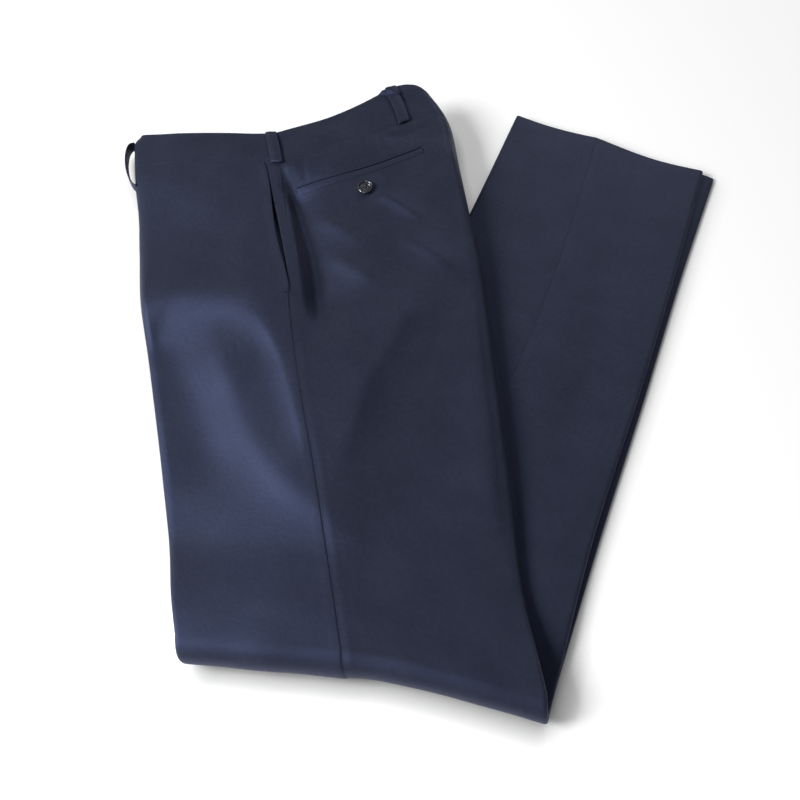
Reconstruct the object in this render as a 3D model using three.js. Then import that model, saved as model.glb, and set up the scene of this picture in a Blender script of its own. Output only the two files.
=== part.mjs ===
// Men's flannel trousers lying on their right side and folded once across at the knee.
// Millimetres, +Z up, origin at the middle of the footprint on the surface they lie on.
// The left leg is on top. The fold carries both shins back under the thighs, and they come
// out again on the right, where the right leg is the one on top.
import * as THREE from "three";
import { mergeVertices } from "three/addons/utils/BufferGeometryUtils.js";

// ---- driving sizes ----
const CLOTH = 1.3; // wall of the flannel
const BAND_CLOTH = 2.2; // waistband: cloth, canvas and cloth
const SEAM = 0.3; // gap between two pieces that meet
const BETWEEN_LEGS = 0.3; // from the plane between the legs to either leg's cloth
const STACK = 8.5; // both legs together where they are pressed flat
const FOLD_RADIUS = 14; // outside of the bend at the knee
const FOLD_AXIS = new THREE.Vector2(0.987, -0.16).normalize(); // along the bend, front to back
const FOLD_BACK = new THREE.Vector2(-FOLD_AXIS.y, FOLD_AXIS.x); // from the bend to the waist
const FOLD_SLIP = { front: 12, seam: 10.8, back: 6.4 }; // run along the bend, as legs cross it askew
const LIFT_REACH = 95; // how far from the bend the thighs stay lifted by it
const DRAPE_START = 70; // the thighs begin to climb this far outside the hidden shin's front crease
const DRAPE_WIDTH = 40; // and are up on it after this much
const LOOP_ROOM = 2.8; // the waist lies this high on the loops under it
const LOOPS_UNDER = { full: 1.25, clear: 1.9 }; // stations to which they lift it, and past which not
const CREASE_RADIUS = 3; // half width of a pressed crease, along the cloth
const TURN_STEPS = 4; // flats that round an edge
const CORE_GAP = 0.5; // hidden layers to the cloth over them
const CORE_SETBACK = 3; // hidden layers to the ends of the turned-in fronts and backs
const CORE_START = 1.3; // station where they begin, inside the waist
const CORE_FULL = 3; // and where they have grown to their full height
const CORE_FIRST = 0.3; // their height at the start, as a part of the full height
const CORE_EDGE = 0.45; // their height at their edges, as a part of the full height
const HEM_CORE = { half: 1.3, from: 0.3, to: 0.1 }; // half thickness in the hem openings, reached
// between these many stations before the hem

// Sections of the thigh part, waist to fold, in plan: the front crease, side seam and back edge.
// Bows carry the section between them away from a straight line, and peak is where the back's is
// greatest. Heights are the whole pile's at the front crease, mid front, side seam, mid back and
// back edge. Tucks are how far the cloth runs in past each edge, radii how far from the edge it
// begins to turn, and turn the angle at which the back edge ends: 0 on the seat seam, -90 round
// a pressed crease.
const THIGH = [
  { name: "waist top", fx: -261, fy: 288, sx: -121, sy: 281, bx: 36, by: 325,
    frontBow: 4, backBow: 20, peak: 0.79, hf: 12, hm: 23, hs: 27, hn: 39, hb: 38,
    tuckF: 85, tuckB: 0, rf: 13, rb: 18, turn: 0 },
  { name: "waist seam", fx: -254, fy: 252, sx: -112, sy: 240, bx: 49, by: 295,
    frontBow: 2, backBow: 8, peak: 0.79, hf: 12, hm: 23, hs: 29, hn: 36, hb: 32,
    tuckF: 85, tuckB: 0, rf: 9, rb: 14, turn: 0 },
  { name: "hip", fx: -247, fy: 210, sx: -105, sy: 190, bx: 56, by: 245,
    frontBow: 0, backBow: 0, peak: 0.79, hf: 12, hm: 23, hs: 29, hn: 31, hb: 24,
    tuckF: 80, tuckB: 0, rf: 5, rb: 10, turn: 0 },
  { name: "seat", fx: -238, fy: 150, sx: -98.5, sy: 135, bx: 64, by: 190,
    frontBow: 0, backBow: 0, peak: 0.6, hf: 12, hm: 21, hs: 28, hn: 27, hb: 17,
    tuckF: 70, tuckB: 0, rf: 4, rb: 7, turn: 0 },
  { name: "fly end", fx: -226, fy: 88, sx: -94, sy: 76, bx: 73, by: 118,
    frontBow: 0, backBow: 0, peak: 0.5, hf: 12, hm: 19, hs: 25, hn: 24, hb: 12,
    tuckF: 45, tuckB: 10, rf: 3, rb: 4, turn: -60 },
  { name: "fork", fx: -206.5, fy: 8, sx: -82.5, sy: 5, bx: 79.5, by: 20,
    frontBow: 0, backBow: 0, peak: 0.5, hf: 11, hm: 17, hs: 20, hn: 18, hb: 9,
    tuckF: 25, tuckB: 25, rf: 3, rb: 3, turn: -90 },
  { name: "thigh", fx: -187, fy: -74, sx: -66, sy: -76, bx: 85, by: -80,
    frontBow: 0, backBow: 0, peak: 0.4, hf: 10, hm: 14, hs: 15, hn: 13, hb: 9,
    tuckF: 25, tuckB: 25, rf: 3, rb: 3, turn: -90 },
  { name: "low thigh", fx: -170, fy: -155, sx: -51, sy: -157, bx: 89, by: -165,
    frontBow: 0, backBow: 0, peak: 0.35, hf: 9, hm: 11, hs: 12, hn: 11, hb: 9,
    tuckF: 25, tuckB: 25, rf: 3, rb: 3, turn: -90 },
  { name: "fold top", fx: -158, fy: -205, sx: -40.5, sy: -215, bx: 100, by: -246,
    frontBow: 0, backBow: 4, peak: 0.35, hf: 8.5, hm: 8.5, hs: 8.5, hn: 8.5, hb: 8.5,
    tuckF: 25, tuckB: 25, rf: 3, rb: 3, turn: -90 },
];
// Sections of the shins in the same terms, fold to hem, under the thighs and out again. The
// pile is pressed flat here, and slip is how far the left leg's back crease, which is
// underneath, shows past the right's.
const SHIN = [
  { name: "low knee", fx: -61, fy: -85, sx: 37, sy: -96, bx: 148.5, by: -125,
    frontBow: 0, backBow: 0, peak: 0.5, slip: 5 },
  { name: "calf", fx: 2, fy: 52, sx: 101, sy: 32, bx: 200, by: 1,
    frontBow: 0, backBow: 0, peak: 0.5, slip: 5 },
  { name: "shin", fx: 62, fy: 190, sx: 149, sy: 153, bx: 249, by: 127,
    frontBow: 0, backBow: 0, peak: 0.5, slip: 6 },
  { name: "hem", fx: 118.5, fy: 329, sx: 196.5, sy: 297, bx: 295, by: 252,
    frontBow: -3, backBow: -5, peak: 0.5, slip: 9 },
];
const FOLD_TOP = THIGH.length - 1; // station numbers: 0 to FOLD_TOP on the thighs,
const FOLD_UNDER = FOLD_TOP + 1; // FOLD_TOP to FOLD_UNDER round the bend,
const HEM = FOLD_UNDER + SHIN.length; // and FOLD_UNDER to HEM on the shins

// Slant pocket of the left side: distance of its opening in front of the side seam.
const SLIT_END = 3.75; // station where it runs into the side seam
const SLIT_AT_WAIST = 17;
const SLIT_CURVE = 0.8; // below 1 it hollows the opening's line towards the seam
const FACING = { drop: 0.2, least: 2.5 }; // the facing below the front's face, and its least width

// Hollow beside the side seam over the hip: stations where it begins and ends, and over how many
// it deepens and runs out, distance from the seam, half width and depth.
const HOLLOW = { top: 0.9, deepens: 0.8, bottom: 4.3, runsOut: 1, fromSeam: 15, half: 12, depth: 5 };

const smooth = (from, to, x) => THREE.MathUtils.smoothstep(x, from, to);

// Catmull-Rom through values, at a fractional index.
function through(values, at) {
  const i = Math.min(Math.max(Math.floor(at), 0), values.length - 2);
  const t = at - i;
  const b = values[i];
  const c = values[i + 1];
  const a = i > 0 ? values[i - 1] : 2 * b - c;
  const d = i + 2 < values.length ? values[i + 2] : 2 * c - b;
  const slope = (c - a) / 2;
  const next = (d - b) / 2;
  return b + t * (slope + t * (3 * (c - b) - 2 * slope - next + t * (2 * (b - c) + slope + next)));
}

// Every column of a table of rows at a fractional row number.
function rowAt(rows, at) {
  const out = {};
  for (const key of Object.keys(rows[0]).filter((k) => k !== "name"))
    out[key] = through(rows.map((row) => row[key]), at);
  return out;
}

const foldTop = THIGH[FOLD_TOP];
const foldUnder = {
  name: "fold under",
  fx: foldTop.fx + FOLD_AXIS.x * FOLD_SLIP.front,
  fy: foldTop.fy + FOLD_AXIS.y * FOLD_SLIP.front,
  sx: foldTop.sx + FOLD_AXIS.x * FOLD_SLIP.seam,
  sy: foldTop.sy + FOLD_AXIS.y * FOLD_SLIP.seam,
  bx: foldTop.bx + FOLD_AXIS.x * FOLD_SLIP.back,
  by: foldTop.by + FOLD_AXIS.y * FOLD_SLIP.back,
  frontBow: foldTop.frontBow,
  backBow: foldTop.backBow,
  peak: foldTop.peak,
  slip: 0,
};
const SHIN_ROWS = [foldUnder, ...SHIN];
const PRESSED = { hf: STACK, hm: STACK, hs: STACK, hn: STACK, hb: STACK, tuckF: 25, tuckB: 25,
  rf: CREASE_RADIUS, rb: CREASE_RADIUS, turn: -90 };

// How far the right leg's back crease shows past the left's on the thigh, between stations.
const RIGHT_SLIP = { most: 5, from: 4.2, full: 5, falls: 6, to: 7.2 };
const rightSlip = (at) =>
  RIGHT_SLIP.most *
  smooth(RIGHT_SLIP.from, RIGHT_SLIP.full, at) *
  (1 - smooth(RIGHT_SLIP.falls, RIGHT_SLIP.to, at));

// One section across both legs.
function section(at) {
  const row =
    at <= FOLD_TOP
      ? rowAt(THIGH, at)
      : at < FOLD_UNDER
        ? { ...rowAt([foldUnder, { ...foldTop, slip: 0 }], FOLD_UNDER - at), ...PRESSED }
        : { ...rowAt(SHIN_ROWS, at - FOLD_UNDER), ...PRESSED };
  const front = new THREE.Vector2(row.fx, row.fy);
  const seam = new THREE.Vector2(row.sx, row.sy);
  const back = new THREE.Vector2(row.bx, row.by);
  const bend = THREE.MathUtils.clamp(at - FOLD_TOP, 0, 1) * Math.PI;
  return {
    at,
    row,
    front,
    seam,
    back,
    bend,
    heights: [row.hf, row.hm, row.hs, row.hn, row.hb],
    width: { [-1]: front.distanceTo(seam), [1]: back.distanceTo(seam) },
    tuck: { [-1]: row.tuckF, [1]: Math.max(row.tuckB, 0) },
    radius: { [-1]: row.rf, [1]: row.rb },
    turn: { [-1]: -90, [1]: Math.min(row.turn, 0) },
  };
}

// Half the pile's height at across, from -1 at the front crease through 0 at the side seam to
// 1 at the back edge.
const halfHeight = (sec, across) =>
  through(sec.heights, THREE.MathUtils.clamp(across, -1, 1) * 2 + 2) / 2;

// Where the hidden shin's front crease runs under a point of the thighs.
function shinFrontX(y) {
  let low = FOLD_UNDER;
  let high = HEM;
  for (let i = 0; i < 24; i++) {
    const mid = (low + high) / 2;
    if (section(mid).front.y < y) low = mid;
    else high = mid;
  }
  return section(low).front.x;
}
const SHIN_SPAN = { from: -210, step: 9, count: 60 };
const SHIN_FRONT = Array.from({ length: SHIN_SPAN.count + 1 }, (_, i) =>
  shinFrontX(SHIN_SPAN.from + i * SHIN_SPAN.step));
const shinFront = (y) =>
  through(SHIN_FRONT, THREE.MathUtils.clamp((y - SHIN_SPAN.from) / SHIN_SPAN.step, 0, SHIN_SPAN.count));

// Height of what the thighs lie on: the surface, the shins, and near the bend its open inside.
function restHeight(plan, at) {
  const past = plan.x - shinFront(plan.y) + DRAPE_START;
  const onShins = (STACK + SEAM) * smooth(0, DRAPE_WIDTH, past);
  const fromBend = plan.clone().sub(new THREE.Vector2(foldTop.fx, foldTop.fy)).dot(FOLD_BACK);
  const lifted = 1 - smooth(0, LIFT_REACH, fromBend);
  const onLoops = LOOP_ROOM * (1 - smooth(LOOPS_UNDER.full, LOOPS_UNDER.clear, at));
  return THREE.MathUtils.lerp(onShins + onLoops, 2 * FOLD_RADIUS - STACK, lifted);
}

// A point of a section: across as above, and out from the plane between the legs, positive
// towards the left leg's outside.
function place(sec, across, out) {
  const edge = across < 0 ? sec.front : sec.back;
  const t = Math.abs(across);
  const plan = sec.seam.clone().lerp(edge, t);
  const bow = across < 0 ? sec.row.frontBow : sec.row.backBow;
  const peak = across < 0 ? 0.5 : sec.row.peak;
  plan.y += bow * Math.sin(Math.PI * Math.min(t, 1) ** (Math.log(0.5) / Math.log(peak)));
  const half = halfHeight(sec, across);
  if (sec.at <= FOLD_TOP)
    return new THREE.Vector3(plan.x, plan.y, restHeight(plan, sec.at) + half + out);
  if (sec.at >= FOLD_UNDER) return new THREE.Vector3(plan.x, plan.y, half - out);
  const reach = FOLD_RADIUS - half + out;
  plan.addScaledVector(FOLD_BACK, -reach * Math.sin(sec.bend));
  return new THREE.Vector3(plan.x, plan.y, FOLD_RADIUS + reach * Math.cos(sec.bend));
}

// Depth of the soft hollow beside the side seam.
function hollow(sec, across, distance) {
  if (across < 0) return 0;
  const along =
    smooth(HOLLOW.top, HOLLOW.top + HOLLOW.deepens, sec.at) *
    (1 - smooth(HOLLOW.bottom - HOLLOW.runsOut, HOLLOW.bottom, sec.at));
  const aside = (distance - HOLLOW.fromSeam) / HOLLOW.half;
  return HOLLOW.depth * along * Math.max(0, 1 - aside * aside);
}

// Distances from the side seam at which a section's face has its points: a few close ones
// over the hollow, and even steps to where the edge begins to turn.
const BY_HOLLOW = [8, 16, 27];
const FACE_STEPS = 5;
function faceNodes(sec, edge) {
  const faceEnd = sec.width[edge] - sec.radius[edge];
  const near = edge > 0 ? BY_HOLLOW : [];
  const from = edge > 0 ? BY_HOLLOW[BY_HOLLOW.length - 1] : 0;
  const step = (faceEnd - from) / FACE_STEPS;
  return [0, ...near, ...Array.from({ length: FACE_STEPS }, (_, i) => from + step * (i + 1))];
}

// Height of a face over the plane between the legs.
function faceHeight(sec, edge, side, distance) {
  const across = (edge * distance) / sec.width[edge];
  return halfHeight(sec, across) - (side > 0 ? hollow(sec, across, distance) : 0);
}

// One cloth's line in a section, from the side seam over the face, round the edge and in
// between the legs: points of distance from the seam and of height out from the middle plane.
function clothLine(sec, edge, side, start, slip) {
  const radius = sec.radius[edge];
  const nodes = faceNodes(sec, edge);
  const faceEnd = nodes.pop();
  const line = [start, ...nodes.slice(1)].map((d) => [d, faceHeight(sec, edge, side, d)]);
  const end = THREE.MathUtils.degToRad(sec.turn[edge]);
  const top = faceHeight(sec, edge, side, faceEnd);
  for (let i = 0; i <= TURN_STEPS; i++) {
    const angle = Math.PI / 2 + ((end - Math.PI / 2) * i) / TURN_STEPS;
    const share = (Math.sin(angle) - Math.sin(end)) / (1 - Math.sin(end));
    line.push([faceEnd + (radius + slip) * Math.cos(angle), BETWEEN_LEGS + (top - BETWEEN_LEGS) * share]);
  }
  const last = line[line.length - 1][0];
  for (const part of [0.5, 1]) line.push([last - sec.tuck[edge] * part, BETWEEN_LEGS]);
  return line;
}

// The same line moved in by the cloth's thickness, and kept on its own side of the middle plane.
// Where points coincide, as at an end with nothing tucked in, the last direction holds.
function inside(line, thickness) {
  let along = new THREE.Vector2(1, 0);
  return line.map(([d, w], i) => {
    const before = line[Math.max(i - 1, 0)];
    const after = line[Math.min(i + 1, line.length - 1)];
    const run = new THREE.Vector2(after[0] - before[0], after[1] - before[1]);
    if (i > 0 && run.length() > 1e-6) along = run.normalize();
    return [d + along.y * thickness, Math.max(w - along.x * thickness, BETWEEN_LEGS)];
  });
}

// A closed body between two grids of points of the same size. Its flats are parted along the
// other diagonal in the first columns, so that a grid laid out from edge to edge has the same
// flats as two laid out from the seam.
function bodyBetween(outer, inner, otherWay = 0) {
  const rows = outer.length;
  const cols = outer[0].length;
  const positions = [...outer.flat(), ...inner.flat()].flatMap((p) => [p.x, p.y, p.z]);
  const faces = [];
  const quad = (a, b, c, d, other) =>
    other ? faces.push(a, b, d, b, c, d) : faces.push(a, b, c, a, c, d);
  const o = (i, j) => i * cols + j;
  const n = (i, j) => rows * cols + i * cols + j;
  for (let i = 0; i + 1 < rows; i++)
    for (let j = 0; j + 1 < cols; j++) {
      quad(o(i, j), o(i + 1, j), o(i + 1, j + 1), o(i, j + 1), j < otherWay);
      quad(n(i, j), n(i, j + 1), n(i + 1, j + 1), n(i + 1, j), j < otherWay);
    }
  for (let i = 0; i + 1 < rows; i++) {
    quad(o(i, 0), n(i, 0), n(i + 1, 0), o(i + 1, 0));
    quad(o(i, cols - 1), o(i + 1, cols - 1), n(i + 1, cols - 1), n(i, cols - 1));
  }
  for (let j = 0; j + 1 < cols; j++) {
    quad(o(0, j), o(0, j + 1), n(0, j + 1), n(0, j));
    quad(o(rows - 1, j), n(rows - 1, j), n(rows - 1, j + 1), o(rows - 1, j + 1));
  }
  return facingOut(positions, faces);
}

// A geometry from positions and faces, without the faces that have shrunk to a line, and
// turned so that the rest point out.
function facingOut(positions, faces) {
  const loose = new THREE.BufferGeometry();
  loose.setAttribute("position", new THREE.Float32BufferAttribute(positions, 3));
  loose.setIndex(faces);
  const geometry = mergeVertices(loose, 1e-4);
  const all = Array.from(geometry.index.array);
  const kept = [];
  for (let k = 0; k < all.length; k += 3) {
    const [a, b, c] = all.slice(k, k + 3);
    if (a !== b && b !== c && c !== a) kept.push([a, b, c]);
  }
  const corner = (i) => new THREE.Vector3().fromBufferAttribute(geometry.getAttribute("position"), i);
  const volume = kept.reduce((sum, [a, b, c]) => sum + corner(a).dot(corner(b).cross(corner(c))), 0);
  geometry.setIndex(kept.flatMap(([a, b, c]) => (volume < 0 ? [a, c, b] : [a, b, c])));
  return geometry;
}

// ---- materials ----
const flannel = new THREE.MeshStandardMaterial({ color: 0x2b3044, roughness: 0.95, metalness: 0 });
const hidden = new THREE.MeshStandardMaterial({ color: 0x232738, roughness: 0.97, metalness: 0 });
const horn = new THREE.MeshStandardMaterial({ color: 0x15171d, roughness: 0.25, metalness: 0 });

const trousers = new THREE.Group();
function add(name, geometry, material) {
  const mesh = new THREE.Mesh(geometry, material);
  mesh.name = name;
  trousers.add(mesh);
  return mesh;
}

// Station numbers from one to another, in even steps.
const stations = (from, to, count) =>
  Array.from({ length: count + 1 }, (_, i) => from + ((to - from) * i) / count);

// ---- legs: a front and a back for each, waist seam to hem ----
const BAND_HEIGHT = 41;
const seamStep = SEAM / BAND_HEIGHT; // the seam gap in stations
const LEG_STATIONS = [
  ...stations(1 + seamStep, FOLD_TOP, 15),
  ...stations(FOLD_TOP, FOLD_UNDER, 6).slice(1),
  ...stations(FOLD_UNDER, HEM, 8).slice(1),
];
const slitWidth = (at) =>
  at < SLIT_END ? SLIT_AT_WAIST * (1 - (at - 1) / (SLIT_END - 1)) ** SLIT_CURVE : 0;

// The walls of one panel: side is 1 for the left leg and -1 for the right, edge is -1 for
// the front and 1 for the back.
function panel(side, edge) {
  const outer = [];
  const inner = [];
  for (const at of LEG_STATIONS) {
    const sec = section(at);
    const slit = side > 0 && edge < 0 ? slitWidth(at) : 0;
    const slip = edge > 0 ? (side > 0 ? (sec.row.slip ?? 0) : rightSlip(at)) : 0;
    const line = clothLine(sec, edge, side, SEAM / 2 + slit, slip);
    const toPoint = ([d, w]) => place(sec, (edge * d) / sec.width[edge], side * w);
    outer.push(line.map(toPoint));
    inner.push(inside(line, CLOTH).map(toPoint));
  }
  return bodyBetween(outer, inner);
}
const leftFront = add("left_front", panel(1, -1), flannel);
const leftBack = add("left_back", panel(1, 1), flannel);
add("right_front", panel(-1, -1), flannel);
add("right_back", panel(-1, 1), flannel);

// ---- slant pocket: the facing that shows between its opening and the side seam ----
function pocketFacing() {
  const outer = [];
  const inner = [];
  for (const at of LEG_STATIONS.filter((s) => slitWidth(s) > FACING.least)) {
    const sec = section(at);
    const edges = [slitWidth(at) - SEAM / 2, SEAM / 2];
    const row = (depth) =>
      edges.map((d) => {
        const across = -d / sec.width[-1];
        return place(sec, across, halfHeight(sec, across) - depth);
      });
    outer.push(row(FACING.drop));
    inner.push(row(FACING.drop + CLOTH));
  }
  return bodyBetween(outer, inner);
}
add("left_pocket_facing", pocketFacing(), flannel);

// ---- hidden layers: the inner faces of both legs, and what is folded between them ----
// Point under a face, between its own points as its flats are.
function underFace(sec, edge, side, distance, depth) {
  const nodes = faceNodes(sec, edge);
  const i = Math.min(nodes.findIndex((d, k) => k > 0 && d >= distance), nodes.length - 1);
  const ends = [nodes[i - 1], nodes[i]].map((d) =>
    place(sec, (edge * d) / sec.width[edge], side * (faceHeight(sec, edge, side, d) - depth)));
  return ends[0].lerp(ends[1], (distance - nodes[i - 1]) / (nodes[i] - nodes[i - 1]));
}

function hiddenLayers() {
  const grids = { [1]: [], [-1]: [] };
  for (const at of LEG_STATIONS.filter((s) => s > CORE_START)) {
    const sec = section(at);
    const spots = [-1, 1].flatMap((edge) => {
      const end = sec.width[edge] - sec.radius[edge] - sec.tuck[edge] - CORE_SETBACK;
      const nodes = faceNodes(sec, edge).map((d) => ({ edge, d: Math.min(d, end), last: d >= end }));
      return edge < 0 ? nodes.slice(1).reverse() : nodes;
    });
    const fill = THREE.MathUtils.lerp(CORE_FIRST, 1, smooth(CORE_START, CORE_FULL, at));
    const inHem = smooth(HEM - HEM_CORE.from, HEM - HEM_CORE.to, at);
    for (const side of [1, -1])
      grids[side].push(spots.map(({ edge, d, last }) => {
        const across = (edge * d) / sec.width[edge];
        const middle = place(sec, across, 0);
        const full = underFace(sec, edge, side, d, CLOTH + CORE_GAP);
        const thin = place(sec, across, side * HEM_CORE.half);
        return middle.lerp(full.lerp(thin, inHem), last ? fill * CORE_EDGE : fill);
      }));
  }
  return bodyBetween(grids[1], grids[-1], FACE_STEPS);
}
add("inner_layers", hiddenLayers(), hidden);

// ---- waistband: a left and a right half, seamed at the centre back ----
function waistband(side) {
  const outer = [];
  const inner = [];
  for (const at of [0, 0.5, 1]) {
    const sec = section(at);
    const halves = [-1, 1].map((edge) => {
      const line = clothLine(sec, edge, side, 0, 0);
      const toPoint = ([d, w]) => place(sec, (edge * d) / sec.width[edge], side * w);
      return { out: line.map(toPoint), in: inside(line, BAND_CLOTH).map(toPoint) };
    });
    outer.push([...halves[0].out.slice(1).reverse(), ...halves[1].out]);
    inner.push([...halves[0].in.slice(1).reverse(), ...halves[1].in]);
  }
  return bodyBetween(outer, inner);
}
const bandLeft = add("waistband_left", waistband(1), flannel);
const bandRight = add("waistband_right", waistband(-1), flannel);

// ---- pieces that lie on the cloth ----
// Point of a mesh's face above or below a place in plan.
function onFace(mesh, x, y, up) {
  const ray = new THREE.Raycaster(new THREE.Vector3(x, y, up * 200), new THREE.Vector3(0, 0, -up));
  return ray.intersectObject(mesh)[0]?.point;
}

// A strip whose points are taken from a face and moved out. plan gives a place from how far
// along the strip it is and its side, -1 or 1; lift gives the height off the face.
function strip(face, up, plan, lift, thickness, steps) {
  const outer = [];
  const inner = [];
  for (let i = 0; i <= steps; i++) {
    const t = i / steps;
    const row = (extra) =>
      [-1, 1].map((k) => {
        const spot = plan(t, k);
        const p = onFace(face, spot.x, spot.y, up);
        return p.setZ(p.z + up * (lift(t) + extra));
      });
    outer.push(row(thickness));
    inner.push(row(0));
  }
  return bodyBetween(outer, inner);
}

const LOOP = { width: 10, thickness: 2, arch: 3, off: 0.35, top: 0.03, foot: 0.97, steps: 8 };
const LOOPS = [
  { name: "belt_loop_left_side", up: 1, across: -0.03 },
  { name: "belt_loop_left_back", up: 1, across: 0.72 },
  { name: "belt_loop_right_side", up: -1, across: -0.03 },
  { name: "belt_loop_right_back", up: -1, across: 0.72 },
  { name: "belt_loop_right_front", up: -1, across: -0.85 },
];
for (const loop of LOOPS) {
  const plan = (t, k) => {
    const sec = section(THREE.MathUtils.lerp(LOOP.top, LOOP.foot, t));
    const half = LOOP.width / 2 / sec.width[loop.across < 0 ? -1 : 1];
    return place(sec, loop.across + k * half, 0);
  };
  const arch = loop.up > 0 ? LOOP.arch : 0;
  const lift = (t) => LOOP.off + arch * Math.sin(Math.PI * t);
  const face = loop.up > 0 ? bandLeft : bandRight;
  add(loop.name, strip(face, loop.up, plan, lift, LOOP.thickness, LOOP.steps), flannel);
}

// The left front loop stands out from the front crease, from the waistband to just below it.
const FRONT_LOOP = { top: 0.12, foot: 1.5, stand: 7.5, flatter: 0.7, height: 7.5, steps: 10 };
function frontLoop() {
  const outer = [];
  const inner = [];
  for (let i = 0; i <= FRONT_LOOP.steps; i++) {
    const t = i / FRONT_LOOP.steps;
    const sec = section(THREE.MathUtils.lerp(FRONT_LOOP.top, FRONT_LOOP.foot, t));
    const away = sec.front.clone().sub(sec.seam).normalize();
    const stand = FRONT_LOOP.stand * Math.sin(Math.PI * t) ** FRONT_LOOP.flatter;
    const row = (extra) =>
      [-1, 1].map((k) => {
        const spot = sec.front.clone().addScaledVector(away, LOOP.off + stand + extra);
        const z = LOOP_ROOM + FRONT_LOOP.height + (k * LOOP.width) / 2;
        return new THREE.Vector3(spot.x, spot.y, z);
      });
    outer.push(row(LOOP.thickness));
    inner.push(row(0));
  }
  return bodyBetween(outer, inner);
}
add("belt_loop_left_front", frontLoop(), flannel);

// ---- back pocket of the left side: its welt and its button ----
const WELT = { width: 6, thickness: 1.1, off: 0.5, steps: 22 };
const weltFrom = new THREE.Vector2(-97, 208);
const weltRun = new THREE.Vector2(118, 45);
const weltAside = new THREE.Vector2(weltRun.y, -weltRun.x).setLength(WELT.width / 2);
const weltPlan = (t, k) => weltFrom.clone().addScaledVector(weltRun, t).addScaledVector(weltAside, k);
const weltBody = strip(leftBack, 1, weltPlan, () => WELT.off, WELT.thickness, WELT.steps);
add("back_pocket_welt", weltBody, flannel);

const BUTTON = { x: -32, y: 208, radius: 7, thickness: 2.6, rim: 0.5, off: 1.1 };
const THREAD_HOLE = { radius: 0.8, fromCentre: 1.7 };
function button() {
  const disc = new THREE.Shape().absarc(0, 0, BUTTON.radius - BUTTON.rim, 0, 2 * Math.PI);
  for (const [i, j] of [[1, 1], [1, -1], [-1, -1], [-1, 1]]) {
    const hole = new THREE.Path();
    const reach = THREAD_HOLE.fromCentre / Math.SQRT2;
    hole.absarc(i * reach, j * reach, THREAD_HOLE.radius, 0, 2 * Math.PI, true);
    disc.holes.push(hole);
  }
  return new THREE.ExtrudeGeometry(disc, {
    depth: BUTTON.thickness - 2 * BUTTON.rim, bevelEnabled: true, bevelThickness: BUTTON.rim,
    bevelSize: BUTTON.rim, bevelSegments: 1, curveSegments: 8,
  });
}
const buttonMesh = add("back_pocket_button", button(), horn);
const under = [[-1, -1], [1, -1], [0, 1]].map(([i, j]) =>
  onFace(leftBack, BUTTON.x + i * BUTTON.radius, BUTTON.y + j * BUTTON.radius, 1));
const lie = new THREE.Plane().setFromCoplanarPoints(...under).normal;
buttonMesh.quaternion.setFromUnitVectors(new THREE.Vector3(0, 0, 1), lie);
const seat = onFace(leftBack, BUTTON.x, BUTTON.y, 1);
buttonMesh.position.copy(seat).addScaledVector(lie, BUTTON.off);

// ---- origin: middle of the footprint ----
const box = new THREE.Box3().setFromObject(trousers);
const model = new THREE.Group();
trousers.position.set(-(box.min.x + box.max.x) / 2, -(box.min.y + box.max.y) / 2, -box.min.z);
model.add(trousers);

export default model;
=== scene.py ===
"""Men's flannel trousers, lying on their right side and folded once across at the knee.

The looks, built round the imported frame. The tables below are the trousers' sections, in
millimetres of their own plan; every point is turned into metres of the frame by in_frame().
A cloth piece is a grid of points, stations down the leg by distances from the side seam.
"""
import math

import bpy
import numpy as np
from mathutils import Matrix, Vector


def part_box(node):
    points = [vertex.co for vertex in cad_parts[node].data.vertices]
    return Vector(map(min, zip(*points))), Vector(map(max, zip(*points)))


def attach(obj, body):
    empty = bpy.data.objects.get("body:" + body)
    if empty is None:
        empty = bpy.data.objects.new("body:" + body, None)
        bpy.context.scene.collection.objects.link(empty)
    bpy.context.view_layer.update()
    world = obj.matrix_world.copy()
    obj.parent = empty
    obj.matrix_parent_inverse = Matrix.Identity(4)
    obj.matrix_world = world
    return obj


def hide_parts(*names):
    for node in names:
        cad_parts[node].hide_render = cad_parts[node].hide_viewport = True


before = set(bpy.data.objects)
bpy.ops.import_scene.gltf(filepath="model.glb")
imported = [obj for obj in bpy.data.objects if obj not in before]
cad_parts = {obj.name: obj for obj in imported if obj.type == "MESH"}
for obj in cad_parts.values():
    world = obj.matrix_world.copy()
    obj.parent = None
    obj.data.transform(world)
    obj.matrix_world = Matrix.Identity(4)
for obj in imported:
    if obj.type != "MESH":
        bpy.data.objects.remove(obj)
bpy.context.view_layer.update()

MM = 0.001

# ---- driving sizes, in millimetres ----
CLOTH = 1.3  # wall of the flannel
BAND_CLOTH = 2.2  # waistband: cloth, canvas and cloth
SEAM = 0.3  # gap between two pieces that meet
BETWEEN_LEGS = 0.3  # from the plane between the legs to either leg's cloth
STACK = 8.5  # both legs together where they are pressed flat
CREASE_RADIUS = 3
FOLD_RADIUS = 14  # outside of the bend at the knee
FOLD_AXIS = np.array([0.987, -0.16]) / math.hypot(0.987, 0.16)
FOLD_BACK = np.array([-FOLD_AXIS[1], FOLD_AXIS[0]])
LIFT_REACH = 80  # how far from the bend the thighs stay lifted by it
DRAPE_START, DRAPE_WIDTH = 70, 40  # where the thighs climb onto the shins under them
SOFT_START, SOFT_WIDTH = 112, 115  # and how much earlier and softer that shows on top
FOLD_PUSH = 2.5, 3.5  # how much farther than round the bend reaches, at its front and its back end
LOOP_ROOM = 2.8  # the waist lies this high on the loops under it
LOOP_ROOM_FADE = 1.25, 2.9  # stations between which that height dies away
PRESSED_TUCK, PRESSED_TURN = 25, -90  # how far, and to what angle, pressed edges turn in

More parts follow.
